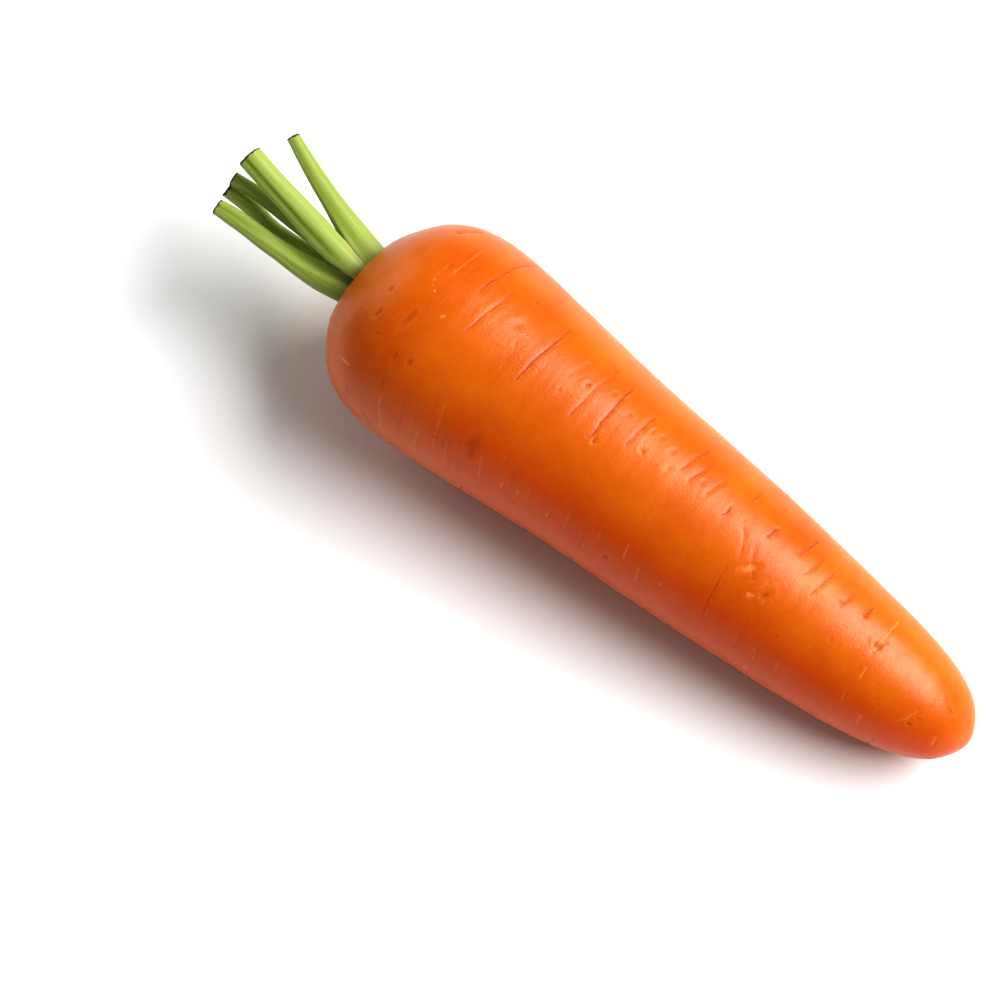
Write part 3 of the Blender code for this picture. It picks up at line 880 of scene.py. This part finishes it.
def stalk_tree():
    """A ribbed stalk along a curve, with a channel, a sheath edge, a dished cut end and a base."""
    graph, given = geometry_tree("leaf_stalk", {
        "Rows": ("Int", 150), "Columns": ("Int", 64), "Flatness": ("Float", 0.8),
        "Ribs": ("Int", 5), "Rib Depth": ("Float", 0.05),
        "Channel Turn": ("Float", 0.0), "Channel Depth": ("Float", 0.0),
        "Channel End": ("Float", 0.8), "Wing Turn": ("Float", 0.0),
        "Wing Height": ("Float", 0.0), "Wing Start": ("Float", 0.5), "Cap Share": ("Float", 0.07),
        "Dish": ("Float", 0.22), "Root In": ("Float", 1.2 * MM), "Shade": ("Float", 0.0),
        "Seed": ("Float", 0.0), "Material": ("Material", None)})
    sheet, spot = flat_sheet(graph, given["Columns"], given["Rows"])
    v = graph.math("ADD", spot["Y"], 0.5)
    angle = graph.product(spot["X"], 2 * math.pi)
    cap = given["Cap Share"]
    open_share = graph.scaled(v, 0.0, cap)
    base_share = graph.scaled(v, 1.0, graph.math("SUBTRACT", 1.0, cap))
    share_out = graph.math("MINIMUM", open_share, base_share)
    t = graph.scaled(v, cap, graph.math("SUBTRACT", 1.0, cap))
    upright = graph.add("GeometryNodeSetCurveNormal", given["Geometry"], mode="Z_UP")
    sample = graph.add("GeometryNodeSampleCurve", upright, graph.add("GeometryNodeInputRadius"), t,
                       mode="FACTOR")
    width = sample.outputs["Value"]
    tangent = sample.outputs["Tangent"]
    sideways = sample.outputs["Normal"]
    upward = graph.vector("CROSS_PRODUCT", sideways, tangent)

    cosine = graph.math("COSINE", angle)
    sine = graph.math("SINE", angle)
    around = graph.joined(graph.product(cosine, 0.9), graph.product(sine, 0.9),
                          graph.total(graph.product(t, 1.6), given["Seed"]))
    lumps = graph.centred(graph.noise(around, 1.0, 2.0))
    turn = graph.total(angle, graph.product(lumps, 1.6))
    ribs = graph.math("COSINE", graph.total(graph.product(turn, given["Ribs"]), given["Seed"]))
    ribs = graph.math("POWER", graph.math("MULTIPLY_ADD", ribs, 0.5, 0.5), 0.6)
    relief = graph.product(graph.math("SUBTRACT", ribs, 0.6), given["Rib Depth"])

    def around_bell(turn_input, spread):
        gap = graph.math("SUBTRACT", 1.0, graph.math("COSINE", graph.math(
            "SUBTRACT", angle, turn_input)))
        return graph.math("EXPONENT", graph.product(gap, -1.0 / spread))

    channel_start = graph.math("ADD", given["Channel End"], 0.1)
    channel_full = graph.math("SUBTRACT", given["Channel End"], 0.2)
    channel = graph.product(around_bell(given["Channel Turn"], 0.045),
                            graph.scaled(t, channel_start, channel_full, smooth=True))
    wing_full = graph.math("ADD", given["Wing Start"], 0.25)
    wing = graph.product(around_bell(given["Wing Turn"], 0.03),
                         graph.scaled(t, given["Wing Start"], wing_full, smooth=True),
                         graph.scaled(given["Wing Height"], 0.0, 0.05))
    relief = graph.math("SUBTRACT", relief, graph.product(channel, given["Channel Depth"]))
    relief = graph.total(relief, graph.product(wing, given["Wing Height"]),
                         graph.product(lumps, 0.10))
    radius = graph.product(graph.math("ADD", 1.0, relief), width, share_out)
    out = graph.vector(
        "ADD",
        graph.vector("SCALE", upward, graph.product(cosine, radius, given["Flatness"])),
        graph.vector("SCALE", sideways, graph.product(sine, radius)))
    dish = graph.product(graph.math("SUBTRACT", 1.0, graph.math("POWER", open_share, 2.0)),
                         graph.product(width, given["Dish"]))
    torn = graph.centred(graph.noise(graph.joined(cosine, sine, given["Seed"]), 1.7, 3.0))
    rough_cut = graph.product(torn, graph.product(width, graph.scaled(t, 0.06, 0.0, 0.0, 0.22)))
    rooted = graph.product(graph.scaled(t, 0.8, 1.0), given["Root In"])
    place = graph.vector("ADD", graph.vector("ADD", sample.outputs["Position"], out),
                         graph.vector("SCALE", tangent, graph.total(dish, rough_cut, rooted)))

    sheet = graph.stored(sheet, "up_stalk", graph.joined(t, open_share, relief), "FLOAT_VECTOR")
    sheet = graph.stored(sheet, "around_stalk", graph.joined(
        cosine, sine, graph.total(t, given["Seed"])), "FLOAT_VECTOR")
    # The third mark is the stalk's painted shade.
    sheet = graph.stored(sheet, "stalk_marks", graph.joined(channel, wing, given["Shade"]),
                         "FLOAT_VECTOR")
    shaped = graph.add("GeometryNodeSetPosition", sheet, True, place)
    closed = graph.add("GeometryNodeMergeByDistance", shaped, True, FINE_WELD)
    finish_tree(graph, closed, given["Material"])
    return graph.tree


def stalk_skin(settings):
    """Fresh green skin: long streaks, light ribs, dark channels, dry sheath edges and cuts."""
    material, graph, shader = new_material("leaf_stalk")
    place = graph.add("ShaderNodeTexCoord").outputs["Object"]
    up = graph.split(graph.on_surface("up_stalk"))
    around = graph.on_surface("around_stalk")
    marks = graph.split(graph.on_surface("stalk_marks"))
    grain = placed_group(graph, grain_group(), Vector=place, Patch_Size=9 * MM,
                         Grain_Size=0.35 * MM)
    green, light_green, dark_green, sheath = (
        opaque(tint) for tint in (settings.green, settings.light_green, settings.dark_green,
                                  settings.sheath))
    streaks = graph.noise(graph.vector("MULTIPLY", around, (3.2, 3.2, 1.6)), 1.0, 3.0, 0.55)
    threads = graph.noise(graph.vector("MULTIPLY", around, (13.0, 13.0, 3.0)), 1.0, 2.0, 0.5)
    streaks = graph.total(graph.scaled(streaks, 0.3, 0.7, 0.0, 0.6),
                          graph.scaled(threads, 0.3, 0.7, 0.0, 0.4))
    tone = graph.blended(streaks, green, light_green)
    hollow = graph.scaled(up["Z"], 0.02, -0.07, 0.0, 0.42)
    tone = graph.blended(hollow, tone, dark_green)
    tone = graph.blended(graph.product(marks["X"], 0.15), tone, dark_green)
    # Painted shade: the stalks lying in the others' shadow are darkened towards dark green.
    tone = graph.blended(marks["Z"], tone, dark_green)
    base = graph.product(graph.scaled(up["X"], 0.72, 1.0, 0.0, 0.5, smooth=True),
                         graph.scaled(grain["Quick"], 0.0, 1.0, 0.5, 1.0))
    tone = graph.blended(base, tone, sheath)
    tone = graph.blended(graph.scaled(marks["Y"], 0.35, 0.9, 0.0, 0.8), tone, sheath)
    pith = graph.scaled(up["Y"], 0.92, 0.70, smooth=True)
    tone = graph.blended(pith, tone, sheath)
    end = graph.scaled(up["X"], 0.024, 0.0, 0.0, 1.0)
    face = graph.math("SUBTRACT", graph.scaled(up["Y"], 0.97, 0.9), graph.product(pith, 0.52))
    cut = graph.math("MAXIMUM", graph.math("SUBTRACT", end, pith), face)
    dried = placed_group(graph, dried_group(), Colour=tone, Dry_Colour=opaque(settings.dried_cut),
                         Mask=cut, Vector=place, Break_Size=0.9 * MM)
    graph.feed(shader.inputs["Base Color"], dried["Colour"])
    graph.feed(shader.inputs["Roughness"], graph.total(
        graph.product(dried["Dryness"], 0.4),
        graph.total(settings.roughness, graph.product(grain["Quick"], 0.1))))
    height = graph.total(threads, graph.product(grain["Height"], 0.35))
    bump = graph.add("ShaderNodeBump", 0.5, 0.10 * MM, named={"Height": height})
    graph.feed(shader.inputs["Normal"], bump)
    set_all_over(shader, {"Subsurface Weight": 0.15, "Subsurface Radius": (0.6, 1.0, 0.2),
                          "Subsurface Scale": 0.8 * MM})
    return material


class CARROT_OT_stalks(bpy.types.Operator):
    """Grow the cut leaf stalks along their routes out of the crown"""

    bl_idname = "carrot.stalks"
    bl_label = "Leaf Stalks"

    def execute(self, context):
        settings = context.scene.carrot_stalks
        tree = stalk_tree()
        skin = stalk_skin(settings)
        place = root_axes(welded("carrot_root")) @ Matrix.Rotation(CROWN_ROLL, 4, "X")
        for node, route in STALKS.items():
            values = {"Rows": settings.rows, "Columns": settings.columns,
                      "Flatness": settings.flatness, "Material": skin, **STALK_LOOKS[node]}
            stalk = grown("grown_" + node, stalk_path(node, route, place), tree, values)
            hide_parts(node)
            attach(stalk, BODY)
        return {"FINISHED"}


# ---- the collar --------------------------------------------------------------------------------


def collar_tree():
    """A thin ring around X with a torn upper edge."""
    graph, given = geometry_tree("leaf_base_collar", {
        "Columns": ("Int", 256), "Rows": ("Int", 24), "Radius": ("Float", 9 * MM),
        "Thickness": ("Float", 0.6 * MM), "Height": ("Float", 1.9 * MM),
        "Ragged": ("Float", 0.45), "Seed": ("Float", 3.0), "Material": ("Material", None)})
    sheet, spot = flat_sheet(graph, given["Columns"], graph.math("ADD", given["Rows"], 1.0))
    angle = graph.product(spot["X"], -2 * math.pi)
    section = graph.product(spot["Y"], 2 * math.pi)

    def squared(value):
        size = graph.math("POWER", graph.math("ABSOLUTE", value), 0.6)
        return graph.product(size, graph.math("SIGN", value))

    cosine = graph.math("COSINE", angle)
    sine = graph.math("SINE", angle)
    upward = squared(graph.math("COSINE", section))
    outward = squared(graph.math("SINE", section))
    circle = graph.joined(cosine, sine, given["Seed"])
    torn = graph.scaled(graph.noise(circle, 4.0, 4.0, 0.7), 0.3, 0.7)
    lost = graph.product(torn, given["Ragged"], graph.scaled(upward, -0.2, 1.0))
    lift = graph.product(upward, graph.math("SUBTRACT", 1.0, lost),
                         graph.product(given["Height"], 0.5))
    wave = graph.product(graph.centred(graph.noise(circle, 2.0, 2.0)),
                         graph.product(given["Thickness"], 0.9))
    wall = graph.product(outward, given["Thickness"], graph.scaled(upward, -1.0, 1.0, 0.5, 0.28))
    radius = graph.total(given["Radius"], wall, wave)
    place = graph.joined(graph.product(lift, -1.0), graph.product(sine, radius),
                         graph.product(cosine, radius))
    sheet = graph.stored(sheet, "up_collar", upward)
    shaped = graph.add("GeometryNodeSetPosition", sheet, True, place)
    closed = graph.add("GeometryNodeMergeByDistance", shaped, True, FINE_WELD)
    finish_tree(graph, closed, given["Material"])
    return graph.tree


def collar_skin(settings):
    """The old leaf bases: dull green at the foot and dry brown along the torn edge."""
    material, graph, shader = new_material("leaf_base")
    place = graph.add("ShaderNodeTexCoord").outputs["Object"]
    grain = placed_group(graph, grain_group(), Vector=place, Patch_Size=5 * MM,
                         Grain_Size=0.3 * MM)
    up = graph.on_surface("up_collar", "Fac")
    tone = graph.blended(grain["Quick"], opaque(settings.green),
                         opaque([0.7 * value for value in settings.green]))
    dried = placed_group(graph, dried_group(), Colour=tone, Dry_Colour=opaque(settings.brown),
                         Mask=graph.scaled(up, -0.4, 1.0), Vector=place, Break_Size=0.8 * MM)
    graph.feed(shader.inputs["Base Color"], dried["Colour"])
    graph.feed(shader.inputs["Roughness"], graph.scaled(dried["Dryness"], 0.0, 1.0, 0.55, 0.85))
    bump = graph.add("ShaderNodeBump", 0.5, 0.10 * MM, named={"Height": grain["Height"]})
    graph.feed(shader.inputs["Normal"], bump)
    return material


class CARROT_OT_collar(bpy.types.Operator):
    """Grow the dry ring of old leaf bases in the crown's pit"""

    bl_idname = "carrot.collar"
    bl_label = "Crown Collar"

    def execute(self, context):
        settings = context.scene.carrot_collar
        axes = root_axes(welded("carrot_root"))
        ring = [axes.inverted() @ vert.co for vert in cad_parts["crown_collar"].data.vertices]
        low = Vector(min(point[i] for point in ring) for i in range(3))
        high = Vector(max(point[i] for point in ring) for i in range(3))
        middle = (low + high) / 2
        radii = [math.hypot(point.y - middle.y, point.z - middle.z) for point in ring]
        source = bpy.data.objects.new("collar_source", bpy.data.meshes.new("collar_source"))
        collar = grown("grown_collar", source, collar_tree(), {
            "Columns": settings.columns, "Rows": settings.rows,
            "Radius": (min(radii) + max(radii)) / 2, "Thickness": max(radii) - min(radii),
            "Ragged": settings.ragged, "Material": collar_skin(settings)})
        collar.data.transform(axes @ Matrix.Translation(middle))
        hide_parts("crown_collar")
        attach(collar, BODY)
        return {"FINISHED"}


# ---- the studio --------------------------------------------------------------------------------


def direction(azimuth, elevation):
    """From what is looked at towards the viewer. Azimuth 0 looks along +Y."""
    return Vector((math.sin(azimuth) * math.cos(elevation),
                   -math.cos(azimuth) * math.cos(elevation), math.sin(elevation)))


def soft_lamp(name, towards, distance, size, power, aim):
    """A rectangular lamp that faces what it is aimed at."""
    data = bpy.data.lights.new(name, "AREA")
    data.shape = "RECTANGLE"
    data.size, data.size_y = size
    data.energy = power
    lamp = bpy.data.objects.new(name, data)
    lamp.location = aim + Vector(towards).normalized() * distance
    lamp.rotation_mode = "QUATERNION"
    lamp.rotation_quaternion = Vector(towards).to_track_quat("Z", "Y")
    bpy.context.scene.collection.objects.link(lamp)


def pale_floor(tint, centre):
    """A wide floor under the carrot, very slightly clouded."""
    work = bmesh.new()
    bmesh.ops.create_grid(work, x_segments=1, y_segments=1, size=FLOOR_HALF_SIZE)
    mesh = bpy.data.meshes.new("floor")
    work.to_mesh(mesh)
    work.free()
    mesh.transform(Matrix.Translation(centre))
    material, graph, shader = new_material("pale_floor")
    place = graph.add("ShaderNodeTexCoord").outputs["Object"]
    cloud = graph.scaled(graph.noise(place, 3.0, 2.0), 0.3, 0.7, 0.0, 0.04)
    graph.feed(shader.inputs["Base Color"],
               graph.blended(cloud, opaque(tint), opaque(FLOOR_CLOUD)))
    set_all_over(shader, {"Roughness": 0.8})
    mesh.materials.append(material)
    floor = bpy.data.objects.new("floor", mesh)
    bpy.context.scene.collection.objects.link(floor)


def even_sky(strength):
    """White light from all round."""
    world = bpy.data.worlds.new("sky")
    world.use_nodes = True
    backdrop = world.node_tree.nodes["Background"]
    backdrop.inputs["Color"].default_value = opaque((1.0, 1.0, 1.0))
    backdrop.inputs["Strength"].default_value = strength
    bpy.context.scene.world = world


def aimed_camera(settings, middle):
    """The scene's camera, at its distance from what it is aimed at."""
    data = bpy.data.cameras.new("camera")
    data.sensor_width = SENSOR_WIDTH
    data.lens = settings.lens
    camera = bpy.data.objects.new("camera", data)
    back = direction(settings.azimuth, settings.elevation)
    camera.location = middle + Vector(settings.aim) + back * settings.distance
    camera.rotation_mode = "QUATERNION"
    camera.rotation_quaternion = (-back).to_track_quat("-Z", "Y")
    bpy.context.scene.collection.objects.link(camera)
    bpy.context.scene.camera = camera


class CARROT_OT_studio(bpy.types.Operator):
    """Set up the pale floor, the soft lamps, the even sky and the camera"""

    bl_idname = "carrot.studio"
    bl_label = "Studio"

    def execute(self, context):
        settings = context.scene.carrot_studio
        low, high = CAD_BOX
        middle = (low + high) / 2
        pale_floor(settings.floor, (middle.x, middle.y, low.z))
        powers = {"key": settings.key_power, "side": settings.side_power}
        for name, (towards, distance, size) in LAMPS.items():
            soft_lamp(name + "_lamp", towards, distance, size, powers[name], middle)
        even_sky(settings.sky)
        context.scene.view_settings.view_transform = "Standard"
        context.scene.view_settings.look = "High Contrast"
        aimed_camera(settings, middle)
        return {"FINISHED"}


# ---- the add-on --------------------------------------------------------------------------------


class CARROT_PT_sidebar(bpy.types.Panel):
    """Lists the carrot's pieces and their settings"""

    bl_label = "Picked Carrot"
    bl_idname = "CARROT_PT_sidebar"
    bl_space_type = "VIEW_3D"
    bl_region_type = "UI"
    bl_category = "Carrot"

    def draw(self, context):
        for operator, group in STEPS.items():
            box = self.layout.box()
            box.operator(operator.bl_idname)
            settings = getattr(context.scene, group)
            for name in settings.__annotations__:
                box.prop(settings, name)


GROUPS = {
    "carrot_root": RootSettings, "carrot_stalks": StalkSettings,
    "carrot_collar": CollarSettings, "carrot_studio": StudioSettings,
}
STEPS = {
    CARROT_OT_root: "carrot_root", CARROT_OT_stalks: "carrot_stalks",
    CARROT_OT_collar: "carrot_collar", CARROT_OT_studio: "carrot_studio",
}


def register():
    for cls in (*GROUPS.values(), *STEPS, CARROT_PT_sidebar):
        bpy.utils.register_class(cls)
    for name, group in GROUPS.items():
        setattr(bpy.types.Scene, name, PointerProperty(type=group))


def unregister():
    for name in GROUPS:
        delattr(bpy.types.Scene, name)
    for cls in (CARROT_PT_sidebar, *reversed(STEPS), *reversed(GROUPS.values())):
        bpy.utils.unregister_class(cls)


def main():
    register()
    bpy.ops.carrot.root()
    bpy.ops.carrot.stalks()
    bpy.ops.carrot.collar()
    bpy.ops.carrot.studio()


if __name__ == "__main__":
    main()
